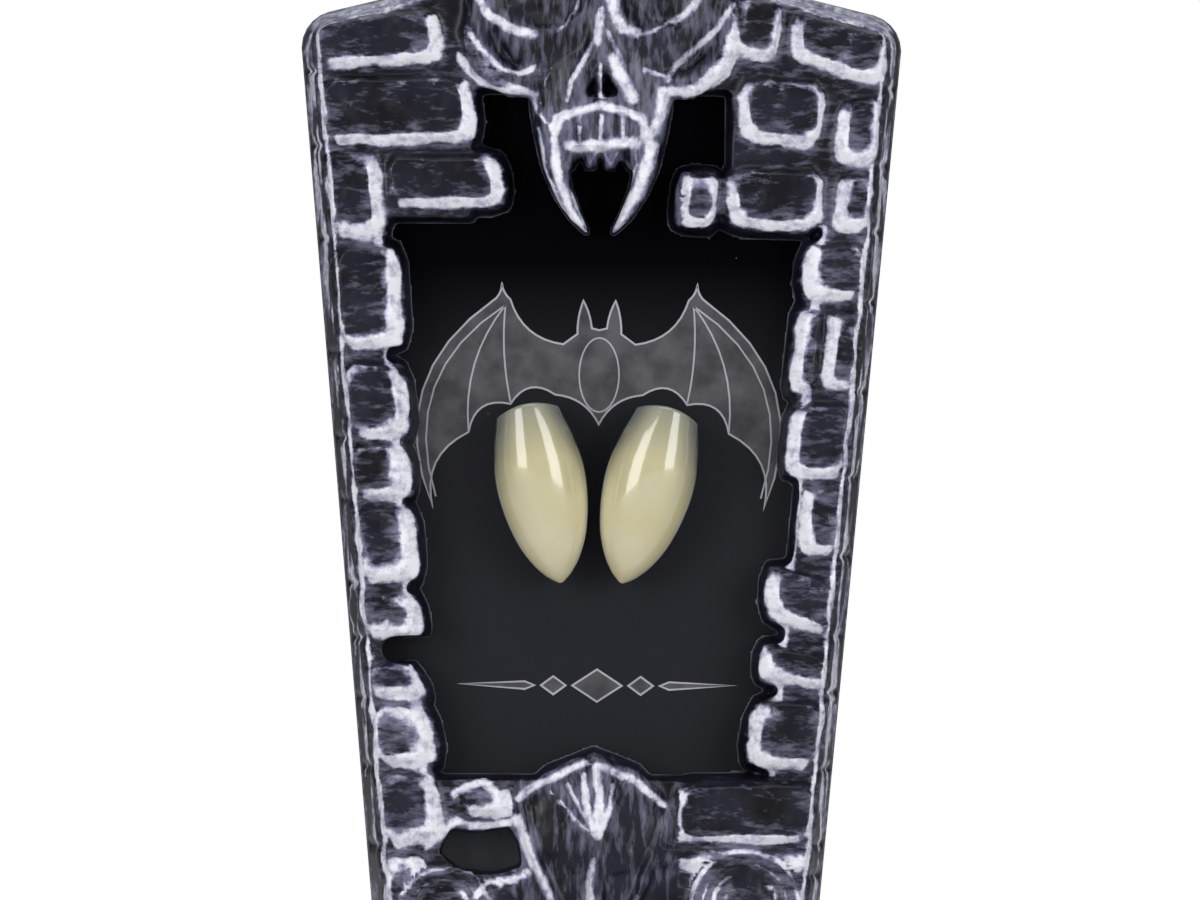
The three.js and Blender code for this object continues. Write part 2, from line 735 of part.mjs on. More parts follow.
function leaf_mound() {
  const flutes = [];
  for (let index = 0; index < leaf_flute_count; index += 1) {
    const spread = (index / (leaf_flute_count - 1) - 0.5) * 2 * leaf_flute_spread_deg * degrees;
    flutes.push(mound_ridge(leaf_flute.map((row) => ({
      ...row,
      across: row.along * Math.sin(spread),
      up: leaf_flute_root + row.along * Math.cos(spread),
    }))));
  }
  const body = ellipsoid(0, mortar_y, mound_height, leaf_body.half_width * mound_width,
    leaf_body.rise * mound_rise, leaf_body.half_height * mound_width);
  const raised = join([
    body.intersect(front_slab(mortar_y + stone_sink)),
    mound_ridge(leaf_arch),
    ...leaf_sides.map(mound_ridge),
    mound_ridge(leaf_stem.map((row) => ({ ...row, across: 0 }))),
    ...flutes,
  ]);
  const foot = layered([
    { y: foot_y, outline: mound_foot(-window_draft) },
    { y: mortar_y, outline: mound_foot(0) },
  ]);
  return raised.add(foot);
}

function mound_foot(inset) {
  const outline = leaf_arch.map((row) => [
    row.across * mound_width,
    mound_height + (row.up + row.half) * mound_width,
  ]).reverse();
  const half = mound_width / 2;
  return inset_polygon([[-half, mound_height - half], [half, mound_height - half], ...outline], inset);
}

function boss(x, height, share) {
  const profile = [
    new THREE.Vector2(0, stone_sink),
    new THREE.Vector2(boss_radius * share, stone_sink),
    ...boss_profile.map((row) => {
      return new THREE.Vector2(row.radius * boss_radius * share, -row.rise * boss_rise);
    }),
    new THREE.Vector2(0, -boss_rise),
  ];
  const geometry = new THREE.LatheGeometry(profile, boss_sides);
  geometry.translate(x, mortar_y, height);
  return solid_from_geometry(geometry);
}

function stone_cover() {
  const raised = join([
    stone_relief(),
    skull_relief(),
    leaf_mound(),
    boss(-boss_spacing / 2, left_boss_height, left_boss_share),
    boss(boss_spacing / 2, right_boss_height, 1),
  ]);
  const within = layered([
    { y: cover_rim_y, outline: case_outline(side_draft) },
    { y: -case_depth, outline: case_outline(side_draft + front_round / 2) },
  ]);
  const cuts = join([wall_joints(), notch_cut(), opening_cut(side_opening_outline(), -case_depth)]);
  return cover_shell().add(raised.intersect(within)).subtract(cuts);
}

// Card, tray and fangs

function insert_card() {
  const inset = sheet + draft_at(card_y) + clearance;
  const outline = case_outline(inset, sheet + clearance);
  return layered([
    { y: card_y + card_thickness, outline },
    { y: card_y, outline },
  ]);
}

function back_tray() {
  const body = layered([
    { y: back_y, outline: case_outline(0) },
    { y: tray_rim_y, outline: case_outline(0) },
  ]);
  const lip_inset = sheet + clearance;
  const lip = layered([
    { y: back_y - sheet, outline: case_outline(lip_inset, lip_inset) },
    { y: tray_rim_y - lip_depth, outline: case_outline(lip_inset + draft_at(tray_rim_y - lip_depth), lip_inset) },
  ]);
  const inner_inset = lip_inset + sheet;
  const hollow = layered([
    { y: back_y - sheet, outline: case_outline(inner_inset, inner_inset) },
    { y: tray_rim_y - lip_depth - overshoot, outline: case_outline(inner_inset, inner_inset) },
  ]);
  return body.add(lip).subtract(hollow);
}

// One ring of the cap's outer or inner face. The gum edge arches up in the middle.
function fang_ring(along, half_width, half_depth, centre_y) {
  const ring = [];
  for (let side = 0; side < fang_sides; side += 1) {
    const angle = (side / fang_sides) * 2 * Math.PI;
    const depth_share = Math.sin(angle) < 0 ? fang_front_share : 1 - fang_front_share;
    const across = Math.cos(angle);
    const sag = gum_arch * across ** 2 * along ** 5;
    const drop = tip_drop * (1 - along) ** 3;
    ring.push(new THREE.Vector3(
      half_width * across,
      centre_y + drop + 2 * half_depth * depth_share * Math.sin(angle),
      along * fang_length - sag,
    ));
  }
  return ring;
}

function fang_cap() {
  const centre_y = -(1 - fang_front_share) * fang_thickness;
  const outer = fang_profile.map((row) => {
    const half_width = (row.width * fang_width) / 2;
    return fang_ring(row.along, half_width, (row.depth * fang_thickness) / 2, centre_y);
  });
  const socket_floor = 1 - socket_depth / fang_length;
  const inner = fang_profile.filter((row) => row.along > socket_floor).reverse().map((row) => {
    const rounding = Math.min(((row.along - socket_floor) / (1 - socket_floor)) * 4, 1) ** 0.5;
    const half_width = ((row.width * fang_width) / 2 - fang_wall) * rounding;
    const half_depth = ((row.depth * fang_thickness) / 2 - fang_wall) * rounding;
    return fang_ring(row.along, half_width, half_depth, centre_y);
  });
  return loft([...outer, ...inner]);
}

// The display's materials
const materials = {
  fang: new THREE.MeshStandardMaterial({ color: 0xd2cba4, roughness: 0.18, metalness: 0 }),
  stone: new THREE.MeshStandardMaterial({ color: 0x3a3a42, roughness: 0.35, metalness: 0.1 }),
  card: new THREE.MeshStandardMaterial({ color: 0x18181c, roughness: 0.45, metalness: 0 }),
  tray: new THREE.MeshStandardMaterial({ color: 0x111114, roughness: 0.4, metalness: 0 }),
};

function mesh_from(solid, name, material) {
  const data = solid.getMesh();
  const geometry = new THREE.BufferGeometry();
  geometry.setAttribute("position", new THREE.BufferAttribute(new Float32Array(data.vertProperties), 3));
  geometry.setIndex(new THREE.BufferAttribute(new Uint32Array(data.triVerts), 1));
  geometry.computeVertexNormals();
  const mesh = new THREE.Mesh(geometry, material);
  mesh.name = name;
  return mesh;
}

function place_fang(name, tip_x, tilt_deg) {
  const mesh = mesh_from(fang_cap(), name, materials.fang);
  mesh.rotation.y = tilt_deg * degrees;
  mesh.position.set(tip_x, fang_back_y, tip_height);
  return mesh;
}

const display = new THREE.Group();
display.add(
  mesh_from(back_tray(), "back_tray", materials.tray),
  mesh_from(stone_cover(), "stone_cover", materials.stone),
  mesh_from(insert_card(), "insert_card", materials.card),
  place_fang("fang_left", left_tip_x, -left_tilt_deg),
  place_fang("fang_right", right_tip_x, right_tilt_deg),
);

// Puts the origin at the middle of the foot
const bounds = new THREE.Box3().setFromObject(display);
const middle = bounds.getCenter(new THREE.Vector3());
display.position.set(-middle.x, -middle.y, -bounds.min.z);

export default display;
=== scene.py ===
"""Looks for a pair of vampire fang caps in a coffin-shaped display box.

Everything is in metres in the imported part's frame: +X right, +Z up, the front faces -Y.
"""

import math

import bpy
import numpy as np
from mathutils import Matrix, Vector


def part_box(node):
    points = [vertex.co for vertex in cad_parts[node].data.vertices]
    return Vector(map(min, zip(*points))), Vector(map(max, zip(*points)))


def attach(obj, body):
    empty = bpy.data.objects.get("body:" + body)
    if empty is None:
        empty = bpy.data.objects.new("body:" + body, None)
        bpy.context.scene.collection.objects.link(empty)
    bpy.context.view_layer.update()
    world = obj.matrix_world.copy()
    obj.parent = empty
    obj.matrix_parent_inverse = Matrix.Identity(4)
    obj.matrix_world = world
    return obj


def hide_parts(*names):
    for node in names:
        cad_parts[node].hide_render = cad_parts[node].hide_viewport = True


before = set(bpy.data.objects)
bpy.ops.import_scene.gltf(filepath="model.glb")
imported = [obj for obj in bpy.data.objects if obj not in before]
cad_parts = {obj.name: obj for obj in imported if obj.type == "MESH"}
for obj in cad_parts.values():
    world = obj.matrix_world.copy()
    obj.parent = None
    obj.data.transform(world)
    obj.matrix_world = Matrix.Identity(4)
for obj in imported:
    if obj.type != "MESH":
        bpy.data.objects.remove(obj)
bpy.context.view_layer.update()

MM = 0.001

# The card's front plane and the cover's depth planes
card_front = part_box("insert_card")[0].y
cover_low, cover_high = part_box("stone_cover")
stone_rise = 1.3 * MM
window_depth = 4.4 * MM
clearance = 0.3 * MM
foot_plane = card_front - clearance
mortar_plane = foot_plane - window_depth
face_plane = mortar_plane - stone_rise

# The box's front view
foot_width = 43.8 * MM
shoulder_width = 63.3 * MM
shoulder_height = 109.5 * MM
wall_inset = 1.8 * MM
border_width = 7.2 * MM
window_setback = 2 * MM
window_sill = 33 * MM
window_head = 91 * MM
foot_flare = 0.45 * MM

# The cover's fine mesh
cover_voxel = 0.26 * MM
cover_triangles = 195000

# Skull, leaf mound and bosses
skull_width = 28.4 * MM
nose_height = 104.2 * MM
skull_centre_height = 116.5 * MM
jaw_half_width = 8.5 * MM
jaw_tip_height = 80 * MM
mound_width = 15.4 * MM
mound_height = 28.5 * MM
boss_radius = 6.1 * MM
left_boss_share = 0.88
left_boss_height = 18.2 * MM
right_boss_height = 19.6 * MM
boss_spacing = 31.5 * MM
BOSSES = (
    # across, height, radius
    (-boss_spacing / 2, left_boss_height, left_boss_share * boss_radius),
    (boss_spacing / 2, right_boss_height, boss_radius),
)

# Fang caps
fang_length = 19.5 * MM
fang_width = 9.45 * MM
fang_thickness = 8 * MM
fang_wall = 0.8 * MM
fang_front_share = 0.6
socket_depth = 12.2 * MM
gum_arch = 0.85 * MM
tip_drop = 0.9 * MM
tip_height = 53.2 * MM
FANGS = (
    {"node": "fang_left", "tip_x": -3.85 * MM, "tilt_deg": -11.5},
    {"node": "fang_right", "tip_x": 2.5 * MM, "tilt_deg": 15},
)
FANG_PROFILE = np.array([
    # along, width, depth
    (0.0, 0.0, 0.0),
    (0.004, 0.06, 0.055),
    (0.03, 0.21, 0.19),
    (0.06, 0.335, 0.305),
    (0.12, 0.525, 0.485),
    (0.22, 0.735, 0.69),
    (0.33, 0.875, 0.835),
    (0.44, 0.96, 0.93),
    (0.55, 1, 0.985),
    (0.65, 0.985, 1),
    (0.74, 0.925, 0.97),
    (0.82, 0.865, 0.93),
    (0.91, 0.77, 0.87),
    (1, 0.685, 0.8),
])

# Heights between which the card's painted reflection fades from dark grey low down to black towards the
# top, and below which painted light brightens the card in the small window
card_reflection_fade_start = 70 * MM
card_reflection_fade_end = 87 * MM
card_painted_light_start = 29 * MM
card_painted_light_end = 28 * MM

# Camera: one photo pixel is 0.105 mm at the front of the box
frame_width = 126 * MM
aim_x = 0.15 * MM
aim_z = 67.2 * MM
camera_distance = 2.4
camera_roll_deg = -0.4


# Small helpers

def link(obj):
    bpy.context.scene.collection.objects.link(obj)
    return obj


def new_piece(name, vertices, faces, smooth=True):
    mesh = bpy.data.meshes.new(name)
    mesh.from_pydata([tuple(v) for v in vertices], [], [tuple(f) for f in faces])
    mesh.update()
    if smooth:
        mesh.shade_smooth()
    return link(bpy.data.objects.new(name, mesh))


def apply_modifiers(obj):
    depsgraph = bpy.context.evaluated_depsgraph_get()
    mesh = bpy.data.meshes.new_from_object(obj.evaluated_get(depsgraph))
    obj.modifiers.clear()
    obj.data = mesh
    return obj


def points_of(mesh):
    points = np.empty(len(mesh.vertices) * 3, np.float32)
    mesh.vertices.foreach_get("co", points)
    return points.reshape(-1, 3).astype(float)


def set_points(mesh, points):
    mesh.vertices.foreach_set("co", points.astype(np.float32).ravel())
    mesh.update()


def normals_of(mesh):
    normals = np.empty(len(mesh.vertices) * 3, np.float32)
    mesh.vertex_normals.foreach_get("vector", normals)
    return normals.reshape(-1, 3).astype(float)


def edges_of(mesh):
    edges = np.empty(len(mesh.edges) * 2, np.int32)
    mesh.edges.foreach_get("vertices", edges)
    return edges.reshape(-1, 2)


def neighbour_mean(values, edges, count):
    """The mean of each vertex's neighbours, for one column or several."""
    columns = values.reshape(count, -1)
    degree = np.bincount(edges.ravel(), minlength=count).clip(1)
    total = np.empty_like(columns)
    for column in range(columns.shape[1]):
        total[:, column] = (
            np.bincount(edges[:, 0], columns[edges[:, 1], column], count)
            + np.bincount(edges[:, 1], columns[edges[:, 0], column], count)
        )
    return (total / degree[:, None]).reshape(values.shape)


def relax(mesh, passes, strength=0.5):
    points = points_of(mesh)
    edges = edges_of(mesh)
    for _ in range(passes):
        points += strength * (neighbour_mean(points, edges, len(points)) - points)
    set_points(mesh, points)


def lattice_noise(points, cell, seed):
    """Smooth noise from -1 to 1 with features about one cell wide."""
    size = 48
    grid = np.random.default_rng(seed).uniform(-1, 1, (size, size, size))
    scaled = points / cell
    base = np.floor(scaled).astype(int)
    part = scaled - base
    part = part * part * (3 - 2 * part)
    total = np.zeros(len(points))
    for corner in np.ndindex(2, 2, 2):
        weight = np.ones(len(points))
        index = []
        for axis, step in enumerate(corner):
            weight *= part[:, axis] if step else 1 - part[:, axis]
            index.append((base[:, axis] + step) % size)
        total += weight * grid[tuple(index)]
    return total


def smoothstep(low, high, values):
    share = np.clip((values - low) / (high - low), 0, 1)
    return share * share * (3 - 2 * share)


def write_attribute(mesh, name, values):
    attribute = mesh.attributes.new(name, "FLOAT", "POINT")
    attribute.data.foreach_set("value", values.astype(np.float32))


def finish_piece(obj, material, node=None):
    obj.data.materials.clear()
    obj.data.materials.append(material)
    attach(obj, "root")
    if node:
        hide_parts(node)
    return obj


# Material building

class Shader:
    """A node material with a Principled shader and short calls for its nodes."""

    def __init__(self, name, **settings):
        self.material = bpy.data.materials.new(name)
        self.material.use_nodes = True
        self.tree = self.material.node_tree
        self.principled = self.tree.nodes["Principled BSDF"]
        for socket, value in settings.items():
            self.principled.inputs[socket.replace("_", " ")].default_value = value
        self.coordinates = self.tree.nodes.new("ShaderNodeTexCoord").outputs["Object"]

    def node(self, kind, inputs=None, **properties):
        made = self.tree.nodes.new(kind)
        for key, value in properties.items():
            setattr(made, key, value)
        for key, value in (inputs or {}).items():
            if isinstance(value, bpy.types.NodeSocket):
                self.tree.links.new(value, made.inputs[key])
            else:
                made.inputs[key].default_value = value
        return made

    def attribute(self, name):
        return self.node("ShaderNodeAttribute", attribute_name=name).outputs["Fac"]

    def stretched(self, scale, rotation=(0, 0, 0)):
        mapping = self.node("ShaderNodeMapping", {
            0: self.coordinates, "Scale": scale, "Rotation": rotation,
        })
        return mapping.outputs[0]

    def noise(self, scale, detail=3.0, roughness=0.55, vector=None):
        made = self.node("ShaderNodeTexNoise", {
            "Vector": vector or self.coordinates, "Scale": scale, "Detail": detail,
            "Roughness": roughness,
        })
        return made.outputs["Fac"]

    def ramp(self, value, low, high, out_low=0.0, out_high=1.0):
        made = self.node("ShaderNodeMapRange", {
            "Value": value, "From Min": low, "From Max": high, "To Min": out_low, "To Max": out_high,
        }, clamp=True)
        return made.outputs["Result"]

    def math(self, operation, first, second):
        return self.node("ShaderNodeMath", {0: first, 1: second}, operation=operation).outputs[0]

    def mix(self, share, first, second):
        made = self.node("ShaderNodeMix", {0: share, 6: first, 7: second}, data_type="RGBA")
        return made.outputs[2]

    def connect(self, value, socket):
        self.tree.links.new(value, self.principled.inputs[socket])

    def bump(self, height, strength, distance):
        made = self.node("ShaderNodeBump", {
            "Height": height, "Strength": strength, "Distance": distance,
        })
        self.connect(made.outputs[0], "Normal")


def colour(red, green, blue):
    """A display colour from 0 to 255 as a linear one."""
    def linear(value):
        share = value / 255
        return share / 12.92 if share <= 0.04045 else ((share + 0.055) / 1.055) ** 2.4
    return (linear(red), linear(green), linear(blue), 1.0)


def cover_material():
    shader = Shader("stone_sheet_black", Specular_IOR_Level=0.3, Coat_Weight=0.08, Coat_Roughness=0.12)
    brushed = shader.noise(420, 6, 0.65, shader.stretched((1.0, 1.0, 2.8), (0, 0.5, 0)))
    bone_brushed = shader.noise(330, 6, 0.6, shader.stretched((4.0, 1.0, 1.0), (0, -0.5, 0)))
    strokes = shader.mix(shader.attribute("bone"), brushed, bone_brushed)
    patches = shader.ramp(shader.noise(150, 4), 0.4, 0.66)
    dark = shader.mix(patches, colour(6, 6, 17), colour(32, 33, 50))
    reach = shader.math("ADD", strokes, shader.ramp(shader.attribute("halo"), 0, 1, -0.1, 0.17))
    streaks = shader.ramp(reach, 0.52, 0.78, 0, 0.75)
    faces = shader.mix(streaks, dark, colour(126, 127, 152))
    fine = shader.noise(1500, 5)
    # The silver mask also carries the roof's painted highlight
    ragged = shader.math("ADD", shader.attribute("silver_and_sheen"), shader.ramp(fine, 0.2, 0.8, -0.22, 0.22))
    brush_edge = shader.math("ADD", ragged, shader.ramp(strokes, 0.3, 0.7, -0.14, 0.14))
    silver_share = shader.ramp(brush_edge, 0.3, 0.66)
    uneven = shader.ramp(shader.noise(560, 6, 0.7), 0.3, 0.7, -0.4, 0.4)
    core = shader.math("ADD", shader.ramp(brush_edge, 0.45, 1.05), uneven)
    silver = shader.mix(shader.ramp(core, 0.05, 0.9), colour(142, 144, 176), colour(246, 247, 255))
    painted = shader.mix(silver_share, faces, silver)
    # Painted highlight: the pale foot line round the window, from the line attribute
    foot_highlighted = shader.mix(shader.attribute("line"), painted, colour(150, 152, 164))
    shader.connect(foot_highlighted, "Base Color")
    shader.connect(shader.ramp(silver_share, 0, 1, 0.4, 0.5), "Roughness")
    shader.bump(shader.math("ADD", shader.noise(900, 4), strokes), 0.3, 0.00007)
    return shader.material


def fang_material():
    shader = Shader("fang_resin_cream", Roughness=0.2, IOR=1.5, Coat_Weight=1.0, Coat_IOR=1.6,
                    Coat_Roughness=0.05, Subsurface_Weight=0.22, Subsurface_Scale=0.0012)
    shader.principled.inputs["Subsurface Radius"].default_value = (1.0, 0.8, 0.45)
    along = shader.attribute("along")
    side = shader.attribute("side")
    cloud = shader.noise(180, 3)
    low = shader.mix(shader.ramp(cloud, 0.35, 0.65), colour(216, 206, 163), colour(222, 214, 180))
    high = shader.mix(shader.ramp(cloud, 0.35, 0.65), colour(204, 196, 152), colour(208, 202, 166))
    body = shader.mix(shader.ramp(along, 0.15, 0.55), low, high)
    # Painted shade: greyer towards the gum end, standing in for the dark card seen through the thin
    # clear resin
    gum = shader.mix(shader.ramp(along, 0.68, 1.02), body, colour(142, 144, 134))
    # Painted shade: the side edges near the gum are darkened, as where the dark card shows through the
    # thin edges
    edge_shade_share = shader.math("MULTIPLY", shader.ramp(side, 0.5, 0.98), shader.ramp(along, 0.45, 0.9))
    clear = shader.mix(edge_shade_share, gum, colour(104, 108, 106))
    # Painted highlight: a pale rim along the side edges of the lower fang
    rim = shader.ramp(side, 0.93, 0.99, 0, 0.7)
    rim_highlight_share = shader.math("MULTIPLY", rim, shader.ramp(along, 0.75, 0.5))
    shader.connect(shader.mix(rim_highlight_share, clear, colour(244, 244, 236)), "Base Color")
    shader.bump(shader.noise(260, 2), 0.12, 0.0001)
    return shader.material


def card_material():
    shader = Shader("card_black", Roughness=0.5, Specular_IOR_Level=0.03)
    height = shader.node("ShaderNodeSeparateXYZ", {0: shader.coordinates}).outputs["Z"]
    # Painted reflection: dark grey low on the card, fading to black towards the top
    reflection_fade = shader.ramp(height, card_reflection_fade_start, card_reflection_fade_end)
    body = shader.mix(reflection_fade, colour(41, 42, 47), colour(2, 1, 6))
    # Painted light: the card is made lighter low down in the small window, where the deep gap would
    # otherwise lie in shade
    lighter = shader.ramp(height, card_painted_light_start, card_painted_light_end)
    body = shader.mix(lighter, body, colour(74, 75, 82))
    speck = shader.ramp(shader.noise(1700, 2), 0.8, 0.83)
    shader.connect(shader.mix(speck, body, colour(120, 120, 128)), "Base Color")
    shader.bump(shader.noise(2400, 2), 0.08, 0.00003)
    return shader.material


def print_material(name, tone, variation):
    shader = Shader(name, Roughness=0.5, Specular_IOR_Level=0.3)
    cloud = shader.ramp(shader.noise(320, 4), 0.35, 0.65)
    lighter = tuple(min(255, value + variation) for value in tone)
    shader.connect(shader.mix(cloud, colour(*tone), colour(*lighter)), "Base Color")
    return shader.material


def tray_material():
    shader = Shader("tray_black", Roughness=0.34, Coat_Weight=0.2, Coat_Roughness=0.2)
    cloud = shader.ramp(shader.noise(90, 4), 0.3, 0.7)
    shader.connect(shader.mix(cloud, colour(20, 20, 23), colour(30, 30, 34)), "Base Color")
    shader.connect(shader.ramp(shader.noise(500, 3), 0.3, 0.7, 0.28, 0.42), "Roughness")
    shader.bump(shader.noise(1400, 3), 0.15, 0.00004)
    return shader.material


# Cover

def front_half(height):
    """Half the width of the cover's front at a height."""
    slope = (shoulder_width - foot_width) / 2 / shoulder_height
    return foot_width / 2 + slope * np.minimum(height, shoulder_height) - wall_inset


def cover_relief():
    """The cover's CAD solid as a fine mesh with rounded edges, dents and paint."""
    obj = link(bpy.data.objects.new("cover_relief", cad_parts["stone_cover"].data.copy()))
    voxels = obj.modifiers.new("voxels", "REMESH")
    voxels.mode = "VOXEL"
    voxels.voxel_size = cover_voxel
    apply_modifiers(obj)
    relax(obj.data, 4)
    roughen_cover(obj.data)
    relax(obj.data, 1)
    thin = obj.modifiers.new("thin", "DECIMATE")
    thin.ratio = min(1.0, cover_triangles / (2 * len(obj.data.polygons)))
    apply_modifiers(obj)
    set_points(obj.data, np.clip(points_of(obj.data), cover_low, cover_high))
    obj.data.shade_smooth()
    paint_cover(obj.data)
    return obj


def roughen_cover(mesh):
    """Dents the front as on a rough-hewn mould, and flares the walls where they meet the card."""
    points = points_of(mesh)
    normals = normals_of(mesh)
    front = 1 - smoothstep(mortar_plane, foot_plane, points[:, 1])
    depth = (
        0.17 * MM * lattice_noise(points, 2.6 * MM, 1)
        + 0.1 * MM * lattice_noise(points, 1.1 * MM, 2)
        + 0.04 * MM * lattice_noise(points, 0.5 * MM, 3)
        - 0.13 * MM
    )
    sideways = np.sqrt(np.clip(1 - normals[:, 1] ** 2, 0, 1))
    inside = (np.abs(points[:, 0]) < front_half(points[:, 2]) - 2 * MM) & (points[:, 2] > 30 * MM)
    low = smoothstep(foot_plane - 0.6 * MM, foot_plane - 0.1 * MM, points[:, 1])
    low *= (sideways > 0.6) & inside & (points[:, 1] < foot_plane + 0.2 * MM)
    dents = normals * (depth * front)[:, None]
    flare = normals * (1, 0, 1) * (foot_flare * low)[:, None]
    set_points(mesh, points + dents + flare)


def wide_mean(values, edges, passes):
    mean = values
    for _ in range(passes):
        mean = neighbour_mean(mean, edges, len(values))
    return mean


SKULL_STROKES = (
    # half width in millimetres, strength, then points across and up from the nose base as shares
    # of skull_width
    (0.5, 1.0, ((-0.46, 0.36), (-0.42, 0.3), (-0.34, 0.26), (-0.25, 0.235))),
    (0.2, 0.6, ((-0.17, 0.24), (-0.13, 0.27), (-0.095, 0.33), (-0.08, 0.4))),
    (0.6, 1.0, ((0.035, 0.4), (0.045, 0.31), (0.08, 0.255), (0.13, 0.24))),
    (0.24, 0.7, ((0.13, 0.24), (0.19, 0.245), (0.26, 0.285))),
    (0.45, 0.85, ((0.27, 0.28), (0.32, 0.32), (0.37, 0.38))),
    (0.32, 0.9, ((0.0, 0.33), (-0.02, 0.21), (-0.065, 0.14), (-0.11, 0.06), (-0.125, -0.01))),
    (0.5, 1.0, ((0.0, 0.3), (-0.015, 0.21))),
    (0.26, 0.7, ((0.012, 0.27), (0.05, 0.19), (0.09, 0.12))),
    (0.7, 1.0, ((0.045, 0.14), (0.085, 0.07), (0.115, 0.0))),
    (0.22, 0.9, ((0.0, 0.13), (0.0, 0.07), (-0.003, -0.02))),
    (0.5, 1.0, ((-0.17, -0.13), (-0.16, -0.075), (-0.09, -0.05), (-0.01, -0.035), (0.07, -0.05),
                 (0.15, -0.075), (0.165, -0.13))),
    (0.6, 1.0, ((-0.12, -0.18), (-0.03, -0.178), (0.06, -0.172), (0.13, -0.17))),
    (0.24, 0.8, ((-0.077, -0.07), (-0.077, -0.16))),
    (0.24, 0.8, ((0.0, -0.07), (0.0, -0.16))),
    (0.24, 0.8, ((0.077, -0.07), (0.077, -0.16))),
    (0.12, 0.5, ((-0.06, -0.2), (-0.04, -0.25), (-0.015, -0.2))),
    (0.12, 0.5, ((0.015, -0.2), (0.04, -0.25), (0.06, -0.2))),
    (0.38, 1.0, ((-0.52, 0.15), (-0.49, 0.09), (-0.45, 0.05), (-0.37, 0.03), (-0.28, 0.02),
                 (-0.24, 0.01))),
    (0.32, 0.9, ((-0.48, 0.23), (-0.44, 0.17), (-0.37, 0.11), (-0.3, 0.085), (-0.25, 0.11))),
    (0.22, 0.9, ((-0.25, 0.02), (-0.24, -0.05), (-0.21, -0.09), (-0.18, -0.11))),
    (0.16, 0.6, ((-0.185, 0.11), (-0.21, 0.04), (-0.225, -0.03))),
    (0.2, 0.9, ((-0.235, -0.12), (-0.22, -0.2), (-0.19, -0.3), (-0.15, -0.4), (-0.1, -0.46),
                (-0.05, -0.5))),
    (0.5, 1.0, ((-0.175, -0.16), (-0.165, -0.25), (-0.145, -0.34), (-0.115, -0.42), (-0.08, -0.47))),
    (0.22, 0.7, ((-0.11, -0.36), (-0.075, -0.43), (-0.05, -0.48))),
    (0.5, 1.0, ((0.46, 0.15), (0.43, 0.08), (0.37, 0.04), (0.29, 0.02), (0.22, 0.02))),
    (0.65, 0.9, ((0.225, 0.01), (0.222, -0.05), (0.205, -0.11), (0.17, -0.15))),
    (0.36, 0.85, ((0.48, 0.34), (0.43, 0.26), (0.35, 0.185), (0.275, 0.12), (0.24, 0.06))),
    (0.32, 0.9, ((0.165, 0.105), (0.23, 0.08))),
    (0.7, 1.0, ((0.19, -0.17), (0.178, -0.24), (0.145, -0.33), (0.1, -0.41), (0.06, -0.46))),
    (0.2, 0.8, ((0.13, -0.19), (0.135, -0.24), (0.115, -0.31))),
)
MOUND_STROKES = (
    # half width in millimetres, strength, then points across and up from the mound's centre as
    # shares of mound_width
    (0.42, 0.9, ((-0.53, 0.13), (-0.42, 0.23), (-0.28, 0.28), (-0.17, 0.34), (-0.07, 0.38))),
    (0.42, 0.9, ((0.01, 0.37), (0.14, 0.32), (0.26, 0.26), (0.36, 0.17), (0.46, 0.1))),
    (0.2, 0.8, ((-0.3, 0.19), (-0.16, 0.01), (-0.03, -0.13))),
    (0.22, 0.8, ((-0.2, 0.23), (-0.12, 0.07), (-0.03, -0.1))),
    (0.36, 1.0, ((-0.09, 0.29), (-0.08, 0.12), (-0.03, -0.08))),
    (0.5, 1.0, ((0.01, 0.36), (0.02, 0.17), (0.0, -0.13))),
    (0.3, 0.9, ((0.12, 0.24), (0.09, 0.07), (0.02, -0.12))),
    (0.4, 0.75, ((-0.03, -0.3), (-0.04, -0.45), (-0.02, -0.75), (-0.03, -1.2))),
    (0.5, 1.0, ((-0.54, 0.0), (-0.47, -0.2), (-0.39, -0.4), (-0.28, -0.62), (-0.17, -1.0))),
    (0.35, 0.75, ((0.3, -0.52), (0.23, -0.7), (0.15, -1.05))),
    (0.4, 1.0, ((-0.97, 0.16), (-0.89, 0.21), (-0.78, 0.24), (-0.68, 0.17), (-0.68, 0.01))),
    (0.45, 1.0, ((-1.16, -0.2), (-1.07, -0.13), (-0.96, -0.02), (-0.85, -0.06), (-0.68, -0.05),
                 (-0.57, -0.02))),
    (0.4, 1.0, ((-0.8, -0.52), (-0.74, -0.43), (-0.56, -0.42), (-0.47, -0.38))),
)
BOSS_RINGS = (
    # radius as a share of the boss's own, half width in millimetres, strength
    (0.92, 0.3, 0.9),
    (0.72, 0.16, 0.6),
    (0.55, 0.3, 0.7),
    (0.34, 0.2, 0.55),
)


def stroke_cover(places, strokes, origin_height, scale):
    """How much of each stroke's silver a place in the front view has."""
    cover = np.zeros(len(places))
    for half, strength, line in strokes:
        corners = np.array(line) * scale + (0, origin_height)
        for start, end in zip(corners, corners[1:]):
            run = end - start
            share = np.clip((places - start) @ run / (run @ run), 0, 1)
            away = np.linalg.norm(places - start - share[:, None] * run, axis=1)
            cover = np.maximum(cover, strength * (1 - smoothstep(0.25, 1.9, away / (half * MM))))
    return cover


def boss_cover(places):
    """Silver arcs on the two bosses."""
    cover = np.zeros(len(places))
    for across, height, radius in BOSSES:
        away = np.hypot(places[:, 0] - across, places[:, 1] - height)
        for ring, half, strength in BOSS_RINGS:
            off = np.abs(away - ring * radius)
            cover = np.maximum(cover, strength * (1 - smoothstep(0.3, 1.5, off / (half * MM))))
    return cover


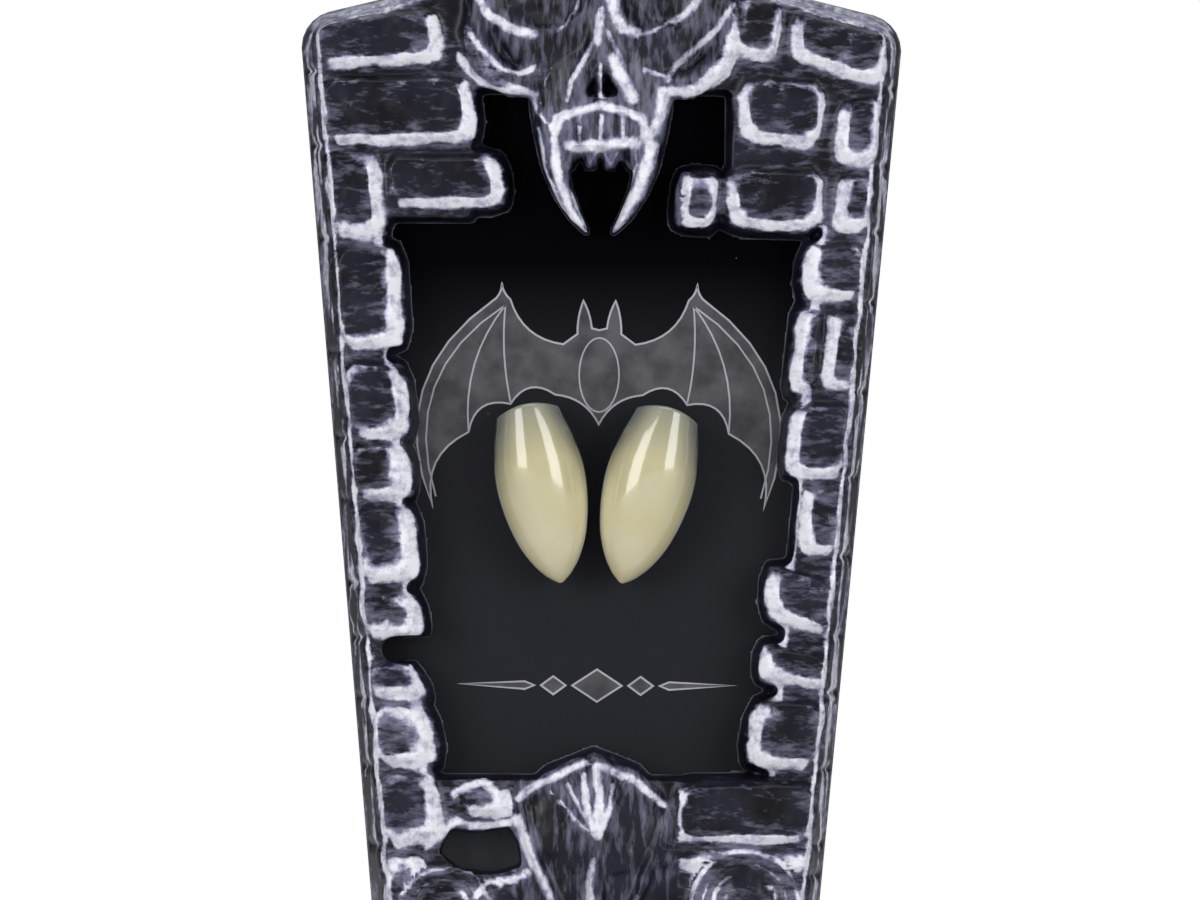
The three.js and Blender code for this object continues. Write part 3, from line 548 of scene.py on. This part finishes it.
class Skin:
    """The cover mesh's points, normals and edges, with what the silver asks of each point."""

    def __init__(self, mesh):
        self.points = points_of(mesh)
        self.normals = normals_of(mesh)
        self.edges = edges_of(mesh)
        self.x, self.y, self.z = self.points.T
        self.facing = -self.normals[:, 1]
        self.slope = np.sqrt(np.clip(1 - self.facing ** 2, 1e-6, 1))
        self.depth = (self.y - mortar_plane) / (cover_high.y - mortar_plane)
        self.outwards = np.abs(self.x) - front_half(self.z)
        self.patchy = lattice_noise(self.points, 1.7 * MM, 5)
        self.broken = lattice_noise(self.points, 0.9 * MM, 8)
        self.wander = 0.25 * MM * lattice_noise(self.points, 2.2 * MM, 7)


def bone_places(skin):
    """Which points belong to the skull, its jaw or the mound."""
    skull = np.hypot(skin.x, skin.z - skull_centre_height) < 0.51 * skull_width
    jaw = (np.abs(skin.x) < jaw_half_width) & (skin.z > jaw_tip_height)
    mound = (np.abs(skin.x) < 0.56 * mound_width) & (skin.z < mound_height + 0.5 * mound_width)
    return skull | jaw | mound


def boss_places(skin):
    """Which points belong to a boss."""
    found = np.zeros(len(skin.points), bool)
    for across, height, radius in BOSSES:
        found |= np.hypot(skin.x - across, skin.z - height) < radius
    return found


def form_silver(skin):
    """Strokes on the skull, the mound and the bosses."""
    places = skin.points[:, [0, 2]] + skin.wander[:, None]
    strokes = np.maximum.reduce([
        stroke_cover(places, SKULL_STROKES, nose_height, skull_width),
        stroke_cover(places, MOUND_STROKES, mound_height, mound_width),
        boss_cover(places) * (0.7 + 0.5 * skin.patchy),
    ])
    return strokes * (0.95 + 0.25 * skin.patchy + 0.15 * skin.broken)


def ridge_silver(skin):
    """Sharp edges, which stand proud of their neighbours."""
    proud = skin.points - wide_mean(skin.points, skin.edges, 3)
    proud = np.einsum("ij,ij->i", proud, skin.normals)
    return smoothstep(0.012 * MM, 0.045 * MM, proud) * np.clip(0.35 + 0.4 * skin.patchy, 0, 1)


def stone_silver(skin, ridge):
    """The stones' bevels that face the window or the floor, and both sides of the upper right stones."""
    inward = -np.sign(skin.x) * skin.normals[:, 0] / skin.slope * (np.abs(skin.x) > 5 * MM)
    upper_right = (skin.x > 5 * MM) & (skin.z > window_head)
    inward = np.where(upper_right, 0.75 * np.abs(inward), inward)
    down = -skin.normals[:, 2] / skin.slope
    uneven = 0.25 * skin.patchy + 0.15 * skin.broken
    direction = np.clip(0.3 + 0.65 * inward + 0.5 * down + uneven, 0, 1)
    bevel = smoothstep(0.3, 0.48, skin.slope) * (1 - smoothstep(0.88, 0.96, skin.slope))
    stones = np.maximum(bevel * direction, ridge)
    spread = wide_mean(stones, skin.edges, 7)
    left_column = (skin.x < -15 * MM) & (skin.z < window_head)
    low = np.where(left_column, 0.05, 0.2)
    return np.maximum(wide_mean(stones, skin.edges, 2), 0.9 * smoothstep(low, low + 0.36, spread))


def corner_silver(skin):
    """A thin line down each front corner of the box."""
    off = np.abs(skin.outwards + 0.12 * MM + skin.wander) - 0.12 * MM * skin.patchy
    corner = 1 - smoothstep(0.14 * MM, 0.36 * MM, off)
    on_front = (skin.y < mortar_plane + 0.9 * MM) * (skin.facing > 0.1)
    return corner * on_front * (0.85 + 0.25 * skin.broken)


def ledge_silver(skin):
    """The narrow ledge between the stones and the window."""
    ledge = skin.outwards + border_width - window_setback
    strip = smoothstep(-0.3 * MM, 0, ledge) * (1 - smoothstep(0.7 * MM, 1.2 * MM, ledge))
    level = 1 - smoothstep(0.3 * MM, 0.8 * MM, np.abs(skin.y - mortar_plane))
    beside_window = (skin.z > window_sill) & (skin.z < window_head)
    return strip * level * beside_window * smoothstep(0.3, 0.7, skin.facing)


def side_silver_and_roof_sheen(skin):
    """Patches on the side walls, and on the roof a thin coat that is partly brushed silver and partly a
    painted highlight, strongest where it faces up.
    """
    on_wall = smoothstep(0.75, 0.95, skin.slope) * (skin.outwards > 0) * (skin.depth > 0.05)
    patches = smoothstep(-0.5, 0.3, lattice_noise(skin.points * (1, 1, 0.5), 1.5 * MM, 6))
    patches *= smoothstep(0.1, 0.2, skin.depth) * (1 - smoothstep(0.6, 0.85, skin.depth))
    rim = smoothstep(0.8, 0.95, skin.depth)
    wall = on_wall * np.maximum(0.76 * patches, 0.55 * rim)
    on_roof = (skin.z > shoulder_height - 3 * MM) & (skin.depth > 0) & (skin.depth < 1)
    # The roof's share is partly a painted highlight from light falling from above
    return np.maximum(wall, 0.6 * on_roof * smoothstep(0.3, 0.7, skin.normals[:, 2]))


def foot_highlight(skin):
    """A painted highlight: the thin pale line where the sheet meets the card round the window, standing
    in for a glint on the fillet there.
    """
    near_card = smoothstep(foot_plane - 0.55 * MM, foot_plane - 0.3 * MM, skin.y)
    near_card *= skin.y < foot_plane + 0.1 * MM
    beside_window = (skin.outwards < -2 * MM) & (skin.facing > -0.3)
    return 0.8 * near_card * beside_window * np.clip(0.65 + 0.5 * skin.patchy, 0.2, 1)


def paint_cover(mesh):
    """Writes where the silver brush has caught, with the roof's painted highlight among it, the smudge
    round it, where bone is brushed and the painted foot highlight.
    """
    skin = Skin(mesh)
    bone = bone_places(skin)
    carved = bone | boss_places(skin)
    on_front = skin.depth < 0.1
    ridge = ridge_silver(skin)
    relief = 1 - smoothstep(mortar_plane - 0.35 * MM, mortar_plane + 0.2 * MM, skin.y)
    silver_and_sheen = np.maximum.reduce([
        relief * np.where(carved, 0.35 * ridge, stone_silver(skin, ridge)),
        form_silver(skin) * on_front,
        corner_silver(skin),
        0.8 * ledge_silver(skin),
        side_silver_and_roof_sheen(skin),
    ])
    halo = 1.7 * wide_mean(silver_and_sheen, skin.edges, 24) + carved * (0.34 + 0.25 * skin.patchy)
    write_attribute(mesh, "silver_and_sheen", np.clip(silver_and_sheen, 0, 1))
    write_attribute(mesh, "halo", np.clip(halo, 0, 1) * on_front)
    write_attribute(mesh, "bone", bone.astype(float))
    # The line attribute carries the painted foot highlight
    write_attribute(mesh, "line", foot_highlight(skin))


# Fangs

def spline(rows, steps):
    """Points on a Catmull-Rom curve through the rows, steps to each stretch."""
    before = 2 * rows[0] - rows[1]
    after = 2 * rows[-1] - rows[-2]
    padded = np.vstack([before, rows, after])
    found = []
    for index in range(1, len(padded) - 2):
        a, b, c, d = padded[index - 1:index + 3]
        for step in range(steps):
            t = step / steps
            found.append(0.5 * (2 * b + (c - a) * t + (2 * a - 5 * b + 4 * c - d) * t ** 2
                                + (3 * b - a - 3 * c + d) * t ** 3))
    found.append(rows[-1])
    return np.array(found)


def fang_ring(along, half_width, half_depth, sides):
    angle = np.linspace(0, 2 * math.pi, sides, endpoint=False)
    centre_y = -(1 - fang_front_share) * fang_thickness
    share = np.where(np.sin(angle) < 0, fang_front_share, 1 - fang_front_share)
    sag = gum_arch * np.cos(angle) ** 2 * along ** 5
    drop = tip_drop * (1 - along) ** 3
    return np.column_stack([
        half_width * np.cos(angle),
        centre_y + drop + 2 * half_depth * share * np.sin(angle),
        along * fang_length - sag,
    ])


def fang_sections():
    """Rows of along, half width and half depth over the outer face, the rim and the socket."""
    outer = spline(FANG_PROFILE, 5)[1:]
    outer[:, 0] = np.clip(outer[:, 0], 0, 1)
    outer[:, 1] *= fang_width / 2
    outer[:, 2] *= fang_thickness / 2
    rim_round = fang_wall / 2
    outer = outer[outer[:, 0] < 1 - rim_round / fang_length]
    rim_width, rim_depth = outer[-1, 1], outer[-1, 2]
    rim = []
    for angle in np.linspace(0, math.pi, 9)[1:-1]:
        inset = rim_round * (1 - math.cos(angle))
        along = outer[-1, 0] + rim_round * math.sin(angle) / fang_length
        rim.append((along, rim_width - inset, rim_depth - inset))
    floor = 1 - socket_depth / fang_length
    inner = outer[outer[:, 0] > floor][::-1].copy()
    rounding = np.clip((inner[:, 0] - floor) / (1 - floor) * 4, 0, 1) ** 0.5
    inner[:, 1] = (inner[:, 1] - fang_wall) * rounding
    inner[:, 2] = (inner[:, 2] - fang_wall) * rounding
    return np.vstack([outer, rim, inner])


def fang_piece(node, tip_x, tilt_deg, material):
    sides = 72
    sections = fang_sections()
    rings = [fang_ring(along, width, depth, sides) for along, width, depth in sections]
    vertices = np.vstack(rings)
    along = np.repeat(sections[:, 0], sides)
    faces = []
    for row in range(len(rings) - 1):
        for column in range(sides):
            a = row * sides + column
            b = row * sides + (column + 1) % sides
            faces.append((a, b, b + sides, a + sides))
    tip = len(vertices)
    floor = tip + 1
    vertices = np.vstack([vertices, rings[0].mean(0), rings[-1].mean(0)])
    along = np.append(along, [0, sections[-1, 0]])
    last = (len(rings) - 1) * sides
    for column in range(sides):
        after = (column + 1) % sides
        faces.append((after, column, tip))
        faces.append((last + column, last + after, floor))
    half_width = fang_width / 2 * np.interp(along, FANG_PROFILE[:, 0], FANG_PROFILE[:, 1])
    side = np.abs(vertices[:, 0]) / (half_width + 1e-6)
    tilt = math.radians(tilt_deg)
    turned = np.column_stack([
        vertices[:, 0] * math.cos(tilt) + vertices[:, 2] * math.sin(tilt) + tip_x,
        vertices[:, 1] + foot_plane,
        vertices[:, 2] * math.cos(tilt) - vertices[:, 0] * math.sin(tilt) + tip_height,
    ])
    obj = new_piece(node + "_cap", turned, faces)
    write_attribute(obj.data, "along", along)
    write_attribute(obj.data, "side", np.clip(side, 0, 1))
    return finish_piece(obj, material, node)


# Card print

BAT_HALF = (
    # across and up from the card's middle line in millimetres, and how far the edge to the next
    # point bows to its left, as a share of its length
    (0.0, 79.8, 0.0),
    (0.8, 80.0, 0.05),
    (1.7, 82.9, 0.05),
    (2.3, 79.4, 0.0),
    (3.8, 78.3, -0.16),
    (9.4, 83.0, -0.1),
    (10.3, 84.7, -0.1),
    (10.9, 83.1, 0.2),
    (17.4, 61.0, -0.2),
    (13.7, 69.0, -0.26),
    (9.3, 72.0, -0.26),
    (4.6, 73.0, -0.14),
    (0.0, 69.9, 0.0),
)
WING_BONES = (
    # across and up of the far end, and how far the bone bows
    (17.1, 62.2, 0.19),
    (13.7, 69.2, 0.1),
    (9.3, 72.2, 0.04),
)
WRIST = (9.9, 82.4)
body_height = 75.1
body_half_width = 2.1
body_half_height = 3.9
LOZENGES = (
    # across, half width and half height in millimetres, at the height of the lower ornament
    (0.0, 2.6, 1.7),
    (4.6, 1.3, 0.95),
    (-4.6, 1.3, 0.95),
)
ornament_height = 42.4
ornament_reach = 14.6
ornament_start = 6.6


def bowed(start, end, bow, steps=8):
    """Points from start up to but without end, on a curve that bows to its left."""
    start, end = np.array(start[:2]), np.array(end[:2])
    run = end - start
    control = (start + end) / 2 + 2 * bow * np.array([-run[1], run[0]])
    share = np.linspace(0, 1, steps, endpoint=False)[:, None]
    return (1 - share) ** 2 * start + 2 * share * (1 - share) * control + share ** 2 * end


def bat_outline():
    half = np.vstack([bowed(a, b, a[2]) for a, b in zip(BAT_HALF, BAT_HALF[1:])] + [BAT_HALF[-1][:2]])
    return np.vstack([half, (half * (-1, 1))[-2:0:-1]])


def lozenge(across, half_width, half_height):
    return np.array([
        (across, ornament_height + half_height),
        (across + half_width, ornament_height),
        (across, ornament_height - half_height),
        (across - half_width, ornament_height),
    ])


def dart(side):
    """A thin tapering line of the lower ornament."""
    return np.array([
        (side * ornament_start, ornament_height),
        (side * (ornament_start + 1), ornament_height + 0.4),
        (side * ornament_reach, ornament_height + 0.1),
        (side * (ornament_start + 1), ornament_height - 0.4),
    ])


def bone_strip(bone, side):
    """One thin closed strip along a wing bone."""
    middle = np.vstack([bowed(WRIST, bone, bone[2]), [bone[:2]]]) * (side, 1)
    run = np.gradient(middle, axis=0)
    run /= np.linalg.norm(run, axis=1)[:, None]
    half = np.column_stack([-run[:, 1], run[:, 0]]) * 0.09
    return np.vstack([middle + half, (middle - half)[::-1]])


def body_outline():
    turn = np.linspace(0, 2 * math.pi, 32, endpoint=False)
    return np.column_stack([
        body_half_width * np.sin(turn),
        body_height + body_half_height * np.cos(turn),
    ])


def ribbon(name, outline, width, material):
    """A thin closed band that follows an outline, lying on the card."""
    points = np.array(outline) * MM
    after = np.roll(points, -1, 0) - points
    before = points - np.roll(points, 1, 0)
    after /= np.linalg.norm(after, axis=1)[:, None]
    before /= np.linalg.norm(before, axis=1)[:, None]
    bisector = np.column_stack([-(after + before)[:, 1], (after + before)[:, 0]])
    bisector /= np.linalg.norm(bisector, axis=1)[:, None]
    stretch = 1 / np.clip(bisector[:, 0] * -after[:, 1] + bisector[:, 1] * after[:, 0], 0.5, 1)
    half = bisector * (stretch * width / 2)[:, None]
    return slab(name, points - half, points + half, material)


def slab(name, outer, inner, material):
    """A flat closed band between two outlines, of ink thickness."""
    thick = 0.02 * MM
    lift = 0.02 * MM
    count = len(outer)
    vertices = []
    for y in (card_front - lift, card_front - lift - thick):
        for loop in (outer, inner):
            vertices += [(x, y, z) for x, z in loop]
    faces = []
    for index in range(count):
        after = (index + 1) % count
        faces.append((index, after, count + after, count + index))
        faces.append((2 * count + index, 3 * count + index, 3 * count + after, 2 * count + after))
        faces.append((index, 2 * count + index, 2 * count + after, after))
        faces.append((count + index, count + after, 3 * count + after, 3 * count + index))
    return finish_piece(new_piece(name, vertices, faces, False), material)


def filled(name, outline, material, lift=0.01 * MM):
    """A flat closed shape of ink thickness lying on the card."""
    curve = bpy.data.curves.new(name, "CURVE")
    curve.dimensions = "2D"
    curve.fill_mode = "BOTH"
    curve.extrude = 0.01 * MM
    line = curve.splines.new("POLY")
    line.points.add(len(outline) - 1)
    for point, (x, z) in zip(line.points, outline):
        point.co = (x * MM, z * MM, 0, 1)
    line.use_cyclic_u = True
    flat = link(bpy.data.objects.new(name, curve))
    flat.rotation_euler = (math.pi / 2, 0, 0)
    flat.location = (0, card_front - lift - curve.extrude, 0)
    bpy.context.view_layer.update()
    mesh = bpy.data.meshes.new_from_object(flat.evaluated_get(bpy.context.evaluated_depsgraph_get()))
    mesh.transform(flat.matrix_world)
    bpy.data.objects.remove(flat)
    return finish_piece(link(bpy.data.objects.new(name, mesh)), material)


# Build

def build_cover():
    finish_piece(cover_relief(), cover_material(), "stone_cover")


def build_fangs():
    material = fang_material()
    for fang in FANGS:
        fang_piece(fang["node"], fang["tip_x"], fang["tilt_deg"], material)


def build_card():
    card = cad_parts["insert_card"]
    card.data.materials.clear()
    card.data.materials.append(card_material())
    fill = print_material("print_grey", (60, 60, 66), 30)
    line = print_material("print_light", (165, 166, 174), 14)
    shapes = [bat_outline(), dart(-1), dart(1)] + [lozenge(*row) for row in LOZENGES]
    for index, outline in enumerate(shapes):
        filled(f"print_fill_{index}", outline, fill)
        ribbon(f"print_line_{index}", outline, 0.2 * MM, line)
    ribbon("print_body", body_outline(), 0.16 * MM, line)
    bones = [bone_strip(bone, side) for bone in WING_BONES for side in (-1, 1)]
    for index, outline in enumerate(bones):
        filled(f"print_bone_{index}", outline, line, 0.03 * MM)


def build_tray():
    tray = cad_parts["back_tray"]
    obj = link(bpy.data.objects.new("tray_body", tray.data.copy()))
    bevel = obj.modifiers.new("bevel", "BEVEL")
    bevel.width = 0.25 * MM
    bevel.segments = 3
    bevel.angle_limit = math.radians(40)
    apply_modifiers(obj)
    finish_piece(obj, tray_material(), "back_tray")


# Stage, lights and camera

def build_stage():
    reach = 0.8
    corners = [(-reach, -reach, 0), (reach, -reach, 0), (reach, reach, 0), (-reach, reach, 0)]
    floor = new_piece("floor", corners, [(0, 1, 2, 3)], False)
    shader = Shader("floor_pale", Roughness=0.7)
    pale = shader.mix(shader.noise(3), colour(238, 238, 238), colour(244, 244, 244))
    shader.connect(pale, "Base Color")
    floor.data.materials.append(shader.material)


LIGHT_TARGET = (0, 0, 0.065)
LIGHTS = (
    # name, place, width and height in metres, watts
    ("strip_left", (-0.46, -0.5, 0.2), 0.34, 0.46, 2.0),
    ("strip_right", (0.46, -0.5, 0.2), 0.34, 0.46, 2.0),
    ("top_soft", (0, -0.25, 0.7), 0.6, 0.4, 1.4),
    ("back_soft", (0, 0.55, 0.9), 0.8, 0.6, 1.6),
)
backdrop_light = 1.0
room_light = 0.12


def area_light(name, place, width, height, watts):
    data = bpy.data.lights.new(name, "AREA")
    data.shape = "RECTANGLE"
    data.size = width
    data.size_y = height
    data.energy = watts
    lamp = link(bpy.data.objects.new(name, data))
    lamp.location = place
    aim = Vector(LIGHT_TARGET) - Vector(place)
    lamp.rotation_euler = aim.to_track_quat("-Z", "Y").to_euler()


def build_lights():
    for light in LIGHTS:
        area_light(*light)


def build_world():
    """A white backdrop that gives only a little light."""
    world = bpy.data.worlds.new("studio")
    world.use_nodes = True
    nodes = world.node_tree.nodes
    links = world.node_tree.links
    background = nodes["Background"]
    seen = nodes.new("ShaderNodeLightPath")
    strength = nodes.new("ShaderNodeMapRange")
    strength.inputs["To Min"].default_value = room_light
    strength.inputs["To Max"].default_value = backdrop_light
    links.new(seen.outputs["Is Camera Ray"], strength.inputs["Value"])
    links.new(strength.outputs["Result"], background.inputs["Strength"])
    background.inputs["Color"].default_value = (1, 1, 1, 1)
    bpy.context.scene.world = world
    bpy.context.scene.view_settings.view_transform = "Standard"


def build_camera():
    data = bpy.data.cameras.new("camera")
    data.sensor_width = 36
    data.lens = 36 * camera_distance / frame_width
    camera = link(bpy.data.objects.new("camera", data))
    camera.location = (aim_x, face_plane - camera_distance, aim_z)
    camera.rotation_euler = (math.pi / 2, math.radians(camera_roll_deg), 0)
    bpy.context.scene.camera = camera


build_camera()
build_cover()
build_fangs()
build_card()
build_tray()
build_stage()
build_lights()
build_world()
